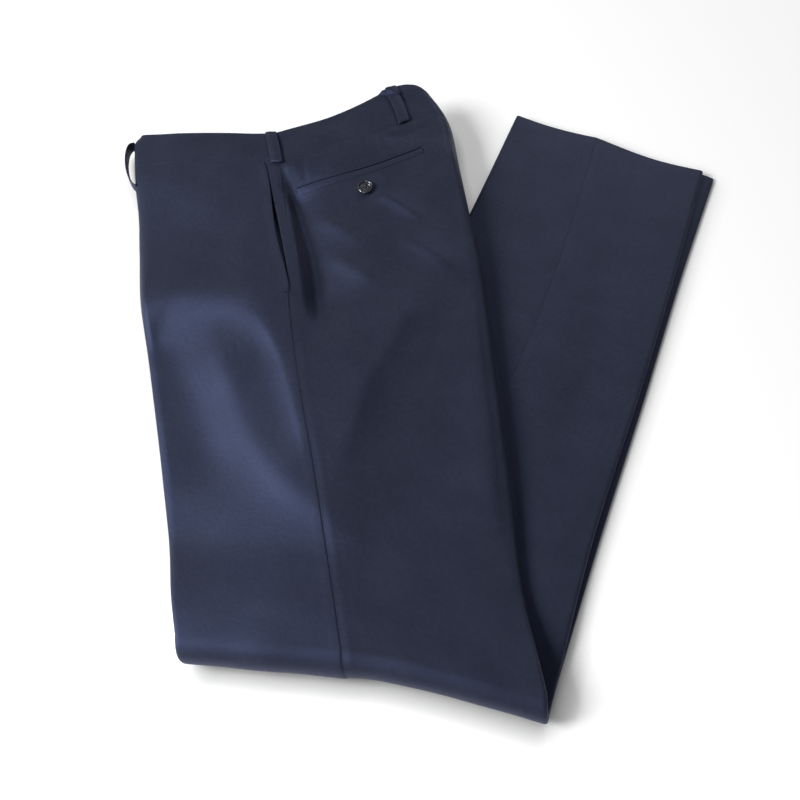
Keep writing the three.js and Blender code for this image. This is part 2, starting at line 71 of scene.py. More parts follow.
# Sections across both legs: front crease, side seam and back edge in plan, how far each half
# bows, the pile's height at five places from front to back, how far the cloth turns in past
# each edge, how far from the edge it begins to turn, the angle at which the back edge ends,
# and how far the lower leg's back crease shows past the upper one's.
COLUMNS = (
    "front_x front_y seam_x seam_y back_x back_y front_bow back_bow peak "
    "h_front h_mid_front h_seam h_mid_back h_back tuck_front tuck_back "
    "radius_front radius_back turn slip"
).split()
THIGH = np.array([
    [-261, 294.5, -121, 281, 34, 322, -2, 21, .8, 12, 23, 27, 39, 38, 85, 0, 13, 18, 0, 0],
    [-254, 252, -112, 240, 49, 295, 2, 8, .79, 12, 23, 29, 36, 32, 85, 0, 9, 14, 0, 0],
    [-247, 210, -105, 190, 56, 245, 0, 0, .79, 12, 23, 29, 31, 24, 80, 0, 5, 10, 0, 0],
    [-238, 150, -98.5, 135, 64, 190, 0, 0, .6, 12, 21, 28, 27, 17, 70, 0, 4, 7, 0, 0],
    [-226, 88, -94, 76, 73, 118, 0, 0, .5, 12, 19, 25, 24, 12, 45, 10, 3, 4, -60, 0],
    [-206.5, 8, -82.5, 5, 79.5, 20, 0, 0, .5, 11, 17, 20, 18, 9, 25, 25, 3, 3, -90, 0],
    [-187, -74, -66, -76, 85, -80, 0, 0, .4, 10, 14, 15, 13, 9, 25, 25, 3, 3, -90, 0],
    [-170, -155, -51, -157, 89, -165, 0, 0, .35, 9, 11, 12, 11, 9, 25, 25, 3, 3, -90, 0],
    [-158, -205, -40.5, -215, 100, -246, 0, 4, .35, 8.5, 8.5, 8.5, 8.5, 8.5, 25, 25, 3, 3, -90, 0],
])
SHIN_PLAN = np.array([
    [-61, -85, 37, -96, 148.5, -125, 0, 0, .5],
    [2, 52, 101, 32, 200, 1, 0, 0, .5],
    [62, 190, 149, 153, 249, 127, 0, 0, .5],
    [118.5, 329, 196.5, 297, 295, 252, -3, -5, .5],
])
SHIN_SLIP = [0, 5, 5, 6, 12]
FOLD_SLIP = np.array([12, 10.8, 6.4])  # front, seam and back run along the bend
PLAN_COLUMNS, HEIGHT_COLUMNS = 9, 5
# Stations are row numbers: the waist's edge is 0, and the bend lies between two tables.
BAND_SEAM, FLY_END = 1, 4
FOLD_TOP = len(THIGH) - 1
FOLD_UNDER = FOLD_TOP + 1
HEM = FOLD_UNDER + len(SHIN_PLAN)


def shin_rows():
    """The shins' sections with every column: the fold's plan moved along the bend by the slip,
    then the shins' own plans, all pressed flat."""
    first = THIGH[FOLD_TOP, :PLAN_COLUMNS].copy()
    first[:6] += (FOLD_SLIP[:, None] * FOLD_AXIS).ravel()
    plans = np.vstack([first, SHIN_PLAN])
    pressed = [STACK] * HEIGHT_COLUMNS + [PRESSED_TUCK] * 2 + [CREASE_RADIUS] * 2 + [PRESSED_TURN]
    return np.column_stack([plans, np.tile(pressed, (len(plans), 1)), SHIN_SLIP])


SHIN = shin_rows()


# ---- working out points ----
def smooth(low, high, x):
    """0 before low, 1 after high, and a smooth step between: 3tt - 2ttt."""
    t = np.clip((x - low) / (high - low), 0, 1)
    return t * t * (3 - 2 * t)


def leaving(low, high, x):
    """1 before low, 0 after high."""
    return 1 - smooth(low, high, x)


def mix(a, b, t):
    """From a to b as t goes from 0 to 1."""
    return a + (b - a) * t


def spline(a, b, c, d, t):
    """Catmull-Rom from b to c, with a before them and d after."""
    slope, after = (c - a) / 2, (d - b) / 2
    return b + t * (slope + t * (3 * (c - b) - 2 * slope - after + t * (2 * (b - c) + slope + after)))


def through(rows, at):
    """Catmull-Rom through a table's rows at fractional row numbers of any shape."""
    rows = np.asarray(rows, float)
    padded = np.concatenate([[2 * rows[0] - rows[1]], rows, [2 * rows[-1] - rows[-2]]])
    i = np.clip(np.floor(at).astype(int), 0, len(rows) - 2)
    t = (at - i)[..., None] if rows.ndim > 1 else at - i
    return spline(padded[i], padded[i + 1], padded[i + 2], padded[i + 3], t)


def through_each(values, at):
    """Catmull-Rom along the last axis of values, at one fractional index for each row."""
    first, last = values[..., :1], values[..., -1:]
    padded = np.concatenate(
        [2 * first - values[..., 1:2], values, 2 * last - values[..., -2:-1]], axis=-1)
    i = np.clip(np.floor(at).astype(int), 0, values.shape[-1] - 2)
    pick = [np.take_along_axis(padded, (i + k)[..., None], -1)[..., 0] for k in range(4)]
    return spline(*pick, at - i)


class Section:
    """The sections at stations of any shape: one array for each column of the tables."""

    def __init__(self, at):
        at = np.asarray(at, float)
        bend = np.clip(at - FOLD_TOP, 0, 1)
        thigh = through(THIGH, np.clip(at, 0, FOLD_TOP))
        shin = through(SHIN, np.clip(at - FOLD_UNDER, 0, len(SHIN) - 1))
        rows = mix(thigh, shin, bend[..., None])
        self.at, self.bend = at, bend * math.pi
        self.col = {name: rows[..., i] for i, name in enumerate(COLUMNS)}
        self.front, self.seam, self.back = rows[..., 0:2], rows[..., 2:4], rows[..., 4:6]
        self.heights = rows[..., PLAN_COLUMNS:PLAN_COLUMNS + HEIGHT_COLUMNS]

    def width(self, edge):
        """Side seam to front crease, for edge -1, or to back edge, for edge 1."""
        return np.linalg.norm((self.front if edge < 0 else self.back) - self.seam, axis=-1)

    def half_height(self, across):
        """Half the pile's height at across, which is from -1 to 1."""
        return through_each(self.heights, np.clip(across, -1, 1) * 2 + 2) / 2

    def plan(self, across):
        """Place in plan at across: -1 front crease, 0 side seam, 1 back edge."""
        behind = across > 0
        edge = np.where(behind[..., None], self.back, self.front)
        t = np.abs(across)
        peak = np.where(behind, self.col["peak"], 0.5)
        bow = np.where(behind, self.col["back_bow"], self.col["front_bow"])
        plan = self.seam + (edge - self.seam) * t[..., None]
        rise = bow * np.sin(np.pi * np.minimum(t, 1) ** (math.log(0.5) / np.log(peak)))
        return plan + rise[..., None] * np.array([0, 1])


SHIN_SAMPLES = 80


def shin_front(y):
    """X of the hidden shins' front crease, at y."""
    line = Section(np.linspace(FOLD_UNDER, HEM, SHIN_SAMPLES)).front
    return np.interp(y, line[:, 1], line[:, 0])


def rest_height(plan, at, start=DRAPE_START, width=DRAPE_WIDTH):
    """Height of what the thighs lie on: the surface, the shins, and the open bend."""
    past = plan[..., 0] - shin_front(plan[..., 1]) + start
    on_shins = (STACK + SEAM) * smooth(0, width, past)
    from_bend = (plan - THIGH[FOLD_TOP, :2]) @ FOLD_BACK
    on_loops = LOOP_ROOM * leaving(*LOOP_ROOM_FADE, at)
    return mix(on_shins + on_loops, 2 * FOLD_RADIUS - STACK, leaving(0, LIFT_REACH, from_bend))


def place(section, across, out):
    """Points at across and out from the plane between the legs, towards the left leg's outside."""
    plan = section.plan(across)
    half = section.half_height(across)
    reach = FOLD_RADIUS - half + out
    bent = (section.at > FOLD_TOP) & (section.at < FOLD_UNDER)
    push = (reach + mix(*FOLD_PUSH, (across + 1) / 2)) * np.sin(section.bend)
    plan = plan - np.where(bent, push, 0)[..., None] * FOLD_BACK
    under = rest_height(plan, section.at)
    softened = rest_height(plan, section.at, SOFT_START, SOFT_WIDTH)
    rest = mix(under, softened, smooth(0, 1, out / half))
    z = np.where(section.at <= FOLD_TOP, rest + half + out, half - out)
    z = np.where(bent, FOLD_RADIUS + reach * np.cos(section.bend), z)
    return np.concatenate([plan, z[..., None]], axis=-1)


# The button's middle in the tables' plan, which ties that plan to the frame.
BUTTON_AT = np.array([-32, 208])
button_low, button_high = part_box("back_pocket_button")
SHIFT = np.array([(button_low[i] + button_high[i]) / 2 / MM - BUTTON_AT[i] for i in (0, 1)] + [0])


def in_frame(points):
    """Millimetres of the tables' plan to metres of the frame."""
    return (points + SHIFT) * MM


# ---- folds: soft ridges and troughs on the cloth ----
# Each runs along a path, and falls away from it as exp(-(sqrt(dd + rr) - r) / width), with one
# width on its left and one on its right, fading over a part of its length at either end.
THIGH_FOLDS = [
    # name, path, height, left width, right width, round, fade in, fade out
    ("lap", [(-240, 82), (-206, 91), (-170, 92), (-134, 83), (-108, 61), (-94, 33)],
     9.8, 34, 15, 24, .03, .35),
    ("beside seam", [(-135, 80), (-115, 60), (-99, 33), (-89, 4), (-81, -24), (-74, -50), (-69, -80)],
     4.8, 34, 7, 8, .32, .35),
    ("thigh front", [(-160, 74), (-145, 30), (-131, -6), (-117, -40), (-95, -72), (-65, -100), (-14, -136)],
     6.2, 34, 11, 18, .25, .22),
    ("below lap", [(-225, 50), (-197, 36), (-183, 9), (-168, -18), (-156, -46), (-138, -72), (-115, -98)],
     -4, 14, 22, 20, .1, .3),
    ("beside front crease", [(-220, 60), (-206, 10), (-190, -50), (-178, -110)], 1.8, 26, 7, 6, .2, .3),
    ("above knee", [(-74, -138), (-82, -168), (-90, -200)], 1.2, 24, 26, 15, .3, .3),
    ("pocket hollow", [(-108, 236), (-102, 220), (-94, 196), (-85, 167), (-77, 138), (-72, 110),
                       (-69, 82), (-66, 54), (-67, 31)], -13, 28, 9, 7, .19, .32),
    ("hollow top", [(-114, 240), (-104, 218), (-97, 198), (-91, 178)], -2.6, 7, 4, 3, .15, .4),
    ("beside slant pocket", [(-106, 213), (-103, 194), (-98, 163), (-92, 134), (-87, 105), (-83, 78),
                             (-77, 52)], 2.4, 5, 6, 2, .1, .2),
    ("loop foot", [(-122, 230), (-109, 234), (-94, 237)], 0.9, 3, 3, 2, .2, .2),
    ("below pocket", [(-84, 186), (-64, 173), (-42, 156), (-18, 136)], 2.6, 9, 7, 6, .35, .5),
    ("upper seat", [(-74, 145), (-53, 130), (-30, 110), (-5, 86)], 3, 10, 8, 6, .35, .5),
    ("by button", [(-28, 208), (-5, 191), (17, 174), (36, 158)], 4.2, 9, 6, 4, .3, .5),
    ("side seat", [(-6, 156), (20, 138), (42, 120), (62, 100)], 5, 10, 8, 6, .3, .5),
    ("over the shins", [(14, 92), (0, 61), (-12, 31), (-28, 3), (-34, -25), (-41, -51), (-50, -77),
                        (-58, -100)], 3.8, 11, 22, 5, .15, .3),
    ("back edge", [(40, 274), (43, 250), (47, 222), (53, 180), (57, 146), (62, 101), (64, 38), (67, -20),
                   (69, -74), (72, -124), (75, -156)], 6, 7, 20, 10, .08, .2),
    ("under band", [(-17, 270), (2, 270), (22, 280), (32, 290)], -1.6, 4, 5, 2, .2, .2),
    ("back waist", [(-48, 330), (-54, 300), (-66, 262)], -5, 30, 24, 24, .02, .5),
    ("back yoke", [(44, 336), (48, 300), (52, 262), (55, 230)], 2, 12, 60, 20, .02, .4),
]
SHIN_FOLDS = [
    ("ankle", [(150, 300), (140, 250), (120, 190)], 0.8, 14, 16, 8, .2, .3),
    ("calf", [(220, 241), (193, 143), (165, 45), (139, -42), (117, -111)], -2.4, 26, 26, 14, .25, .25),
]


def along(path, count=130):
    """A smooth line through a path's points, and how far along it each point is, from 0 to 1."""
    path = np.array(path, float)
    line = through(path, np.linspace(0, len(path) - 1, count))
    run = np.concatenate([[0], np.cumsum(np.linalg.norm(np.diff(line, axis=0), axis=1))])
    return line, run / run[-1]


def fold(points, path, height, left, right, rounding, fade_in, fade_out):
    """Height of one fold at points of the plan, from the nearest stretch of its path."""
    line, share = along(path)
    start, step = line[:-1], np.diff(line, axis=0)
    best = np.full(points.shape[:-1], 1e9)
    side = np.zeros(points.shape[:-1])
    part = np.zeros(points.shape[:-1])
    for a, s, t0, t1 in zip(start, step, share[:-1], share[1:]):
        away = points - a
        t = np.clip((away @ s) / (s @ s), 0, 1)
        off = away - t[..., None] * s
        distance = np.hypot(off[..., 0], off[..., 1])
        nearer = distance < best
        best = np.where(nearer, distance, best)
        side = np.where(nearer, s[0] * away[..., 1] - s[1] * away[..., 0], side)
        part = np.where(nearer, mix(t0, t1, t), part)
    width = mix(right, left, smooth(-rounding, rounding, np.sign(side) * best))
    shape = np.exp(-(np.sqrt(best**2 + rounding**2) - rounding) / width)
    return height * shape * smooth(0, fade_in, part) * leaving(1 - fade_out, 1, part)


def folds(points, table):
    """Height of all a table's folds at points of the plan."""
    return sum(fold(points, *row[1:]) for row in table)


WAVES = 7  # in the unevenness of the cloth
WAVE_LOW, WAVE_HIGH = [[0], [0], [0.6]], [[np.pi], [7], [1.8]]  # turn, phase and scale of each
WAVE_HEIGHT, WAVE_SEED = 0.5, 3
THIGH_WAVE, SHIN_WAVE = 90, 110  # wavelengths on the faces on top


def ripple(points, size, seed):
    """Slight unevenness of cloth: sine waves of random direction, from -1 to 1."""
    random = np.random.default_rng(seed)
    total = np.zeros(points.shape[:-1])
    for turn, phase, scale in zip(*random.uniform(WAVE_LOW, WAVE_HIGH, (3, WAVES))):
        along_wave = points @ [math.cos(turn), math.sin(turn)]
        total += np.sin(along_wave * scale / size * 2 * np.pi + phase)
    return total / WAVES


def relief(section, across, side):
    """How far a face stands out from its section's plain height. The faces on top have the
    folds; those that lie on the surface only hollow a little away from it."""
    plan = section.plan(across)
    on_thigh = leaving(FOLD_TOP - 0.6, FOLD_TOP, section.at)
    on_shin = smooth(FOLD_UNDER, FOLD_UNDER + 0.4, section.at)
    above, wave = (on_thigh, THIGH_WAVE) if side > 0 else (on_shin, SHIN_WAVE)
    table = THIGH_FOLDS if side > 0 else SHIN_FOLDS
    soft = WAVE_HEIGHT * ripple(plan, wave, WAVE_SEED + side)
    raised = folds(plan, table) + soft
    return above * raised + (1 - above) * (soft - WAVE_HEIGHT)


def face_height(section, across, side):
    """Height of a face over the plane between the legs."""
    return section.half_height(across) + relief(section, across, side)


# ---- meshes ----
def add_object(name, data):
    """A new object in the scene."""
    made = bpy.data.objects.new(name, data)
    bpy.context.scene.collection.objects.link(made)
    return made


def normals_of(grid):
    """Unit normals of a grid of points, from its differences both ways."""
    down, over = np.gradient(grid, axis=0), np.gradient(grid, axis=1)
    n = np.cross(down, over)
    return n / np.maximum(np.linalg.norm(n, axis=-1, keepdims=True), 1e-9)


RIM_ANGLES = np.radians([90, 60, 30])  # the rim's rows, from its outermost


def rimmed(outer, inner):
    """Two walls with a half-round rim added before the first row: between them the wall thins
    as a cosine while it runs out as a sine."""
    middle, half = (outer[0] + inner[0]) / 2, (outer[0] - inner[0]) / 2
    ahead = middle - (outer[1] + inner[1]) / 2
    ahead /= np.maximum(np.linalg.norm(ahead, axis=-1, keepdims=True), 1e-9)
    reach = ahead * np.linalg.norm(half, axis=-1, keepdims=True)
    rows = [(middle + reach * np.sin(a), half * np.cos(a)) for a in RIM_ANGLES]
    return (np.concatenate([[m + h for m, h in rows], outer]),
            np.concatenate([[m - h for m, h in rows], inner]))


def all_rims(outer, inner):
    """Half-round rims on all four sides of two walls."""
    for _ in range(4):
        outer, inner = rimmed(outer, inner)
        outer, inner = np.rot90(outer), np.rot90(inner)
    return outer, inner


def uv_of(grid):
    """Distances along and across a grid's cloth, in metres."""
    down = np.linalg.norm(np.diff(grid, axis=0), axis=-1).mean(axis=1)
    over = np.linalg.norm(np.diff(grid, axis=1), axis=-1)
    v = np.concatenate([[0], np.cumsum(down)])
    u = np.concatenate([np.zeros((len(grid), 1)), np.cumsum(over, axis=1)], axis=1)
    return np.stack([u, np.broadcast_to(v[:, None], u.shape)], axis=-1)


def quads(index):
    """Corner numbers of the quads of a grid of point numbers."""
    corners = [index[:-1, :-1], index[1:, :-1], index[1:, 1:], index[:-1, 1:]]
    return np.stack(corners, -1).reshape(-1, 4)


def mesh_object(name, points, faces, uv, material, sharp_angle=50):
    """A smooth-shaded piece from points in metres and quads, turned to face outwards."""
    a, b, c, d = (points[faces[:, k]] for k in range(4))
    volume = np.sum(a * np.cross(b, c)) + np.sum(a * np.cross(c, d))
    if volume < 0:
        faces = faces[:, ::-1]
    mesh = bpy.data.meshes.new(name)
    mesh.vertices.add(len(points))
    mesh.vertices.foreach_set("co", points.astype(np.float32).ravel())
    mesh.loops.add(faces.size)
    mesh.loops.foreach_set("vertex_index", faces.astype(np.int32).ravel())
    mesh.polygons.add(len(faces))
    mesh.polygons.foreach_set("loop_start", np.arange(0, faces.size, 4, dtype=np.int32))
    mesh.update(calc_edges=True)
    layer = mesh.uv_layers.new(name="cloth")
    layer.uv.foreach_set("vector", uv[faces.ravel()].astype(np.float32).ravel())
    mesh.polygons.foreach_set("use_smooth", np.ones(len(faces), bool))
    mesh.set_sharp_from_angle(angle=math.radians(sharp_angle))
    mesh.materials.append(material)
    piece = add_object(name, mesh)
    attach(piece, "root")
    return piece


def shell(name, outer, inner, material):
    """A closed wall between two grids of points in the tables' millimetres, with round rims.
    The walls share the points of their border."""
    outer, inner = all_rims(outer, inner)
    rows, cols = outer.shape[:2]
    border = np.ones((rows, cols), bool)
    border[1:-1, 1:-1] = False
    front = np.arange(rows * cols).reshape(rows, cols)
    back = np.where(border, front, rows * cols + np.cumsum(~border).reshape(rows, cols) - 1)
    points = in_frame(np.concatenate([outer.reshape(-1, 3), inner[~border]]))
    flat = uv_of(outer) * MM
    uv = np.concatenate([flat.reshape(-1, 2), flat[~border]])
    faces = np.concatenate([quads(front), quads(back)[:, ::-1]])
    return mesh_object(name, points, faces, uv, material)


# ---- materials ----
def new_material(name, **inputs):
    """A material with values for inputs of its shader, whose names have underscores for spaces."""
    material = bpy.data.materials.new(name)
    material.use_nodes = True
    tree = material.node_tree
    shader = tree.nodes["Principled BSDF"]
    for key, value in inputs.items():
        shader.inputs[key.replace("_", " ")].default_value = value
    return material, tree, shader


def node(tree, kind, settings=None, **inputs):
    """A node with its settings and inputs; an input is a value or another node's output."""
    made = tree.nodes.new(kind)
    for key, value in (settings or {}).items():
        setattr(made, key, value)
    for key, value in inputs.items():
        socket = made.inputs[int(key[1:]) if key[0] == "_" else key.replace("_", " ")]
        if isinstance(value, bpy.types.NodeSocket):
            tree.links.new(value, socket)
        else:
            socket.default_value = value
    return made


def colour_ramp(tree, factor, stops):
    """The colour that a factor picks between stops, each a position and a colour."""
    ramp = node(tree, "ShaderNodeValToRGB", Fac=factor)
    elements = ramp.color_ramp.elements
    while len(elements) < len(stops):
        elements.new(0.5)
    for element, (position, colour) in zip(elements, stops):
        element.position = position
        element.color = (*colour, 1)
    return ramp.outputs["Color"]


SKY_TINT = (0.35, 0.45, 1.0, 1)  # the nap's glance


def flannel(name, dark, mid, light, sheen=0.05):
    """Napped wool: yarns of mixed tones under a soft nap, over a fine twill that shows through."""
    material, tree, shader = new_material(
        name, Roughness=0.54, Specular_IOR_Level=0.6, Specular_Tint=SKY_TINT,
        Sheen_Weight=sheen, Sheen_Roughness=0.45, Sheen_Tint=SKY_TINT)
    cloth = node(tree, "ShaderNodeTexCoord").outputs["UV"]
    melange = node(tree, "ShaderNodeTexNoise", Vector=cloth, Scale=900.0, Detail=2.0, Roughness=0.6)
    nap = node(tree, "ShaderNodeTexNoise", Vector=cloth, Scale=260.0, Detail=4.0, Roughness=0.7)
    cloud = node(tree, "ShaderNodeTexNoise", Vector=cloth, Scale=26.0, Detail=3.0, Roughness=0.6)
    twill = node(tree, "ShaderNodeTexWave", {"wave_type": "BANDS", "bands_direction": "DIAGONAL"},
                 Vector=cloth, Scale=420.0, Distortion=1.6, Detail=2.0, Detail_Scale=1.5)
    speck = node(tree, "ShaderNodeMix", {"data_type": "FLOAT"}, Factor=0.45,
                 _2=nap.outputs["Fac"], _3=melange.outputs["Fac"])
    tone = node(tree, "ShaderNodeMix", {"data_type": "FLOAT"}, Factor=0.3,
                _2=speck.outputs["Result"], _3=cloud.outputs["Fac"])
    colour = colour_ramp(tree, tone.outputs["Result"], [(0.3, dark), (0.5, mid), (0.7, light)])
    tree.links.new(colour, shader.inputs["Base Color"])
    fuzz = node(tree, "ShaderNodeBump", Strength=0.35, Distance=0.0006, Height=nap.outputs["Fac"])
    weave = node(tree, "ShaderNodeBump", Strength=0.25, Distance=0.0003,
                 Height=twill.outputs["Fac"], Normal=fuzz.outputs["Normal"])
    tree.links.new(weave.outputs["Normal"], shader.inputs["Normal"])
    return material


NAVY = flannel("navy flannel",
               (0.0095, 0.0105, 0.0145), (0.0165, 0.019, 0.0275), (0.0255, 0.0295, 0.0435))
INSIDE = flannel("flannel inside",
                 (0.010, 0.011, 0.016), (0.014, 0.016, 0.024), (0.02, 0.022, 0.032), 0.02)


def streaked(name, stops, noise, **looks):
    """A material whose colour runs between stops in a noise's cloudy streaks."""
    material, tree, shader = new_material(name, **looks)
    place_of = node(tree, "ShaderNodeTexCoord").outputs["Object"]
    streak = node(tree, "ShaderNodeTexNoise", Vector=place_of, **noise).outputs["Fac"]
    tree.links.new(colour_ramp(tree, streak, stops), shader.inputs["Base Color"])
    return material


HORN = streaked("dark horn",
                [(0.35, (0.014, 0.017, 0.023)), (0.55, (0.03, 0.034, 0.043)), (0.75, (0.06, 0.064, 0.074))],
                {"Scale": 240.0, "Detail": 3.0, "Distortion": 1.5},
                Roughness=0.12, Specular_IOR_Level=0.9, Coat_Weight=1.0, Coat_Roughness=0.08)
THREAD = streaked("navy thread", [(0.3, (0.010, 0.012, 0.02)), (0.7, (0.03, 0.034, 0.05))],
                  {"Scale": 3000.0, "Detail": 1.0}, Roughness=0.55)


# ---- legs ----
# A pair called FADE, IN or OUT holds the stations between which something comes or goes.
SEAM_STEPS = [0, 0.2, 0.5, 0.9, 1.4, 2, 2.8, 4, 5.5, 7, 8.2, 9.5]  # from the seam, close together
SEAM_DEPTH, SEAM_HALF = 0.55, 0.7  # the groove in which two pieces meet
BACK_OF_GROOVE = 5  # on the back it is so many times wider
ALLOWANCE, ALLOWANCE_RISE = 8, 0.15  # cloth pressed open under it, and how far it lifts the face
PRESSED_SHARE = 0.35  # of the side seam's relief that is left below the knee
FRONT_ROLL, FRONT_ROLL_FADE = (13, 5), (2.6, 4)  # soft over the hips, sharper down the thighs
BACK_ROLL = 8
TURN_COLUMNS, TUCK_COLUMNS = 8, 4
TURN_FROM = math.radians(82)  # where on its ellipse an edge begins: already falling a little
BAND_HEIGHT = 41
LEG_FROM = BAND_SEAM + SEAM / BAND_HEIGHT  # the panels' upper edge
BAND_SEAM_DEPTH, BAND_SEAM_RUN = (0.2, 0.7), (-235, -110)  # from the front crease to the pocket
BAND_SEAM_STEEP, BAND_SEAM_SHALLOW = 0.8, 4  # half widths on the legs' and the band's side
SLIT_END = 3.75
SLIT_AT_WAIST = 17
SLIT_GAPE = 4.4  # how far the slant pocket stands open at its middle
SLIT_LIP_RISE, SLIT_LIP_WIDTH = 0.9, 5  # the front's edge stands up a little along the slit
SLIT_HEM = 6  # and its cloth is doubled about so far from it
RIGHT_SLIP, RIGHT_SLIP_IN, RIGHT_SLIP_OUT = 5, (4.2, 5), (6, 7.2)
HIP_FULL, HIP_FULL_OUT = 2.8, (1.6, 2.6)  # how far the hips' fronts bulge past their crease
THIGH_FULL, THIGH_FULL_IN, THIGH_FULL_OUT = 1.3, (3, 4.5), (6, 7)  # and the thighs' fronts
WHOLE_FROM = HEM - 0.5  # from here the legs are whole tubes
SIDES = {"left": 1, "right": -1}  # the left leg lies on top
LEG_COLUMNS = 84
RIGHT_LEG_FINENESS = 0.75  # share of the left leg's rows and columns


def leg_stations(fine):
    """Stations from the waist seam to the hem, closest over the hips and round the bend."""
    near = LEG_FROM + np.array([0, 0.3, 0.8, 1.5, 2.5]) / BAND_HEIGHT
    return np.concatenate([near, np.linspace(near[-1], FLY_END, int(70 * fine))[1:-1],
                           np.linspace(FLY_END, FOLD_TOP, int(60 * fine))[:-1],
                           np.linspace(FOLD_TOP, FOLD_UNDER, int(24 * fine))[:-1],
                           np.linspace(FOLD_UNDER, HEM, int(60 * fine))])


def slit_share(at):
    """How far down the slant pocket's opening a station is, from 0 to 1."""
    return np.clip((at - BAND_SEAM) / (SLIT_END - BAND_SEAM), 0, 1)


def slit_width(at):
    """Distance of the slant pocket's opening in front of the side seam."""
    return SLIT_AT_WAIST * (1 - slit_share(at)) ** 0.95


def slit_gape(at):
    """How far the front's edge stands away from the facing: a sine squared down the opening."""
    return SLIT_GAPE * np.sin(np.pi * slit_share(at) ** 1.3) ** 2


def back_slip(at, side):
    """How far one leg's back crease shows past the other's."""
    if side > 0:
        return Section(at).col["slip"]
    return RIGHT_SLIP * smooth(*RIGHT_SLIP_IN, at) * leaving(*RIGHT_SLIP_OUT, at)


def front_slip(at):
    """How far the front crease bulges past its line, over the hips and over the thighs."""
    thighs = THIGH_FULL * smooth(*THIGH_FULL_IN, at) * leaving(*THIGH_FULL_OUT, at)
    return HIP_FULL * leaving(*HIP_FULL_OUT, at) + thighs


def groove(distance, depth=SEAM_DEPTH, half=SEAM_HALF):
    """A soft groove along a seam."""
    return -depth * np.exp(-(distance / half) ** 2)


def side_seam(distance, at, edge):
    """A pressed seam: its groove, steep on the front and shallow on the back, and the lift of
    the allowances under either side. Below the knee it is pressed flatter."""
    lift = ALLOWANCE_RISE * leaving(ALLOWANCE - 3, ALLOWANCE + 2, distance)
    drop = groove(distance, SEAM_DEPTH, SEAM_HALF if edge < 0 else BACK_OF_GROOVE * SEAM_HALF)
    return (drop + lift) * mix(1, PRESSED_SHARE, smooth(FOLD_TOP, FOLD_UNDER, at))


def band_seam(at, plan):
    """The waistband's lower seam, where its distance is the stations' in millimetres. It is
    pressed flat towards the front."""
    depth = mix(*BAND_SEAM_DEPTH, smooth(*BAND_SEAM_RUN, plan[..., 0]))
    half = np.where(at > BAND_SEAM, BAND_SEAM_STEEP, BAND_SEAM_SHALLOW)
    return groove((at - BAND_SEAM) * BAND_HEIGHT, depth, half)


def cloth_line(at, edge, side, start, slip, columns, shape, tuck_to_seam=0):
    """Outer face of one cloth: for each station, from the side seam over the face, round the
    edge as a quarter or half ellipse, and in between the legs. shape gives the height of what
    is sewn into the face, from the distance to the start, the stations and the plan.
    tuck_to_seam is 1 where the cloth between the legs runs on to the inseam."""
    section = Section(np.broadcast_to(at[:, None], (len(at), 1)))
    name = "front" if edge < 0 else "back"
    width, radius = section.width(edge), section.col["radius_" + name]
    roll = BACK_ROLL if edge > 0 else mix(*FRONT_ROLL, smooth(*FRONT_ROLL_FADE, section.at))
    radius = np.maximum(radius, roll * leaving(FOLD_TOP - 1, FOLD_TOP, section.at))
    to_seam = np.reshape(tuck_to_seam, (-1, 1))
    tuck = mix(np.maximum(section.col["tuck_" + name], 0), width - 1, to_seam)
    end = np.radians(-90.0 if edge < 0 else np.minimum(section.col["turn"], 0))
    face_end = width - radius
    near = start[:, None] + np.array(SEAM_STEPS)
    even = np.linspace(0, 1, columns + 1)[1:]
    face = np.concatenate([near, mix(near[:, -1:], face_end, even)], axis=1)
    angle = TURN_FROM + (end - TURN_FROM) * np.linspace(0, 1, TURN_COLUMNS + 1)[1:]
    out = (np.cos(angle) - math.cos(TURN_FROM)) / (1 - math.cos(TURN_FROM))
    turned = face_end + (radius + slip[:, None]) * out
    share = (np.sin(angle) - np.sin(end)) / (math.sin(TURN_FROM) - np.sin(end))
    tucked = turned[:, -1:] - tuck * np.linspace(0, 1, TUCK_COLUMNS + 1)[1:]
    section = Section(np.broadcast_to(at[:, None], face.shape))
    across = edge * face / width
    over = face_height(section, across, side)
    over += shape(face - start[:, None], section.at, section.plan(across))
    round_edge = BETWEEN_LEGS + (over[:, -1:] - BETWEEN_LEGS) * share
    d = np.concatenate([face, turned, tucked], axis=1)
    w = np.concatenate([over, round_edge, np.full_like(tucked, BETWEEN_LEGS)], axis=1)
    return place(Section(np.broadcast_to(at[:, None], d.shape)), edge * d / width, side * w), d


def thickened(outer, thickness, inward):
    """The wall's inner face: the outer one moved along its normals."""
    return outer + normals_of(outer) * np.asarray(thickness)[..., None] * inward


# Narrow lines sewn into the left back: its dart, the end of the side pocket's bag, and the
# back pocket's mouth and end. The columns are those of the folds.
DARTS = [
    ("dart", [(-22, 278), (-19, 260), (-16, 243)], -0.9, 1.3, 1.3, .5, .05, .1),
    ("pocket bag", [(-90, 246), (-90, 232), (-88, 217)], -0.5, 1.6, 1.6, .6, .1, .2),
    ("pocket mouth", [(-96, 215.5), (-71, 220), (-46, 226.5), (-14, 239), (22, 255)],
     -1.6, 1.0, 1.0, .5, .01, .01),
    ("pocket end", [(22, 256), (24, 243)], -0.8, 0.9, 0.9, .4, .1, .3),
]


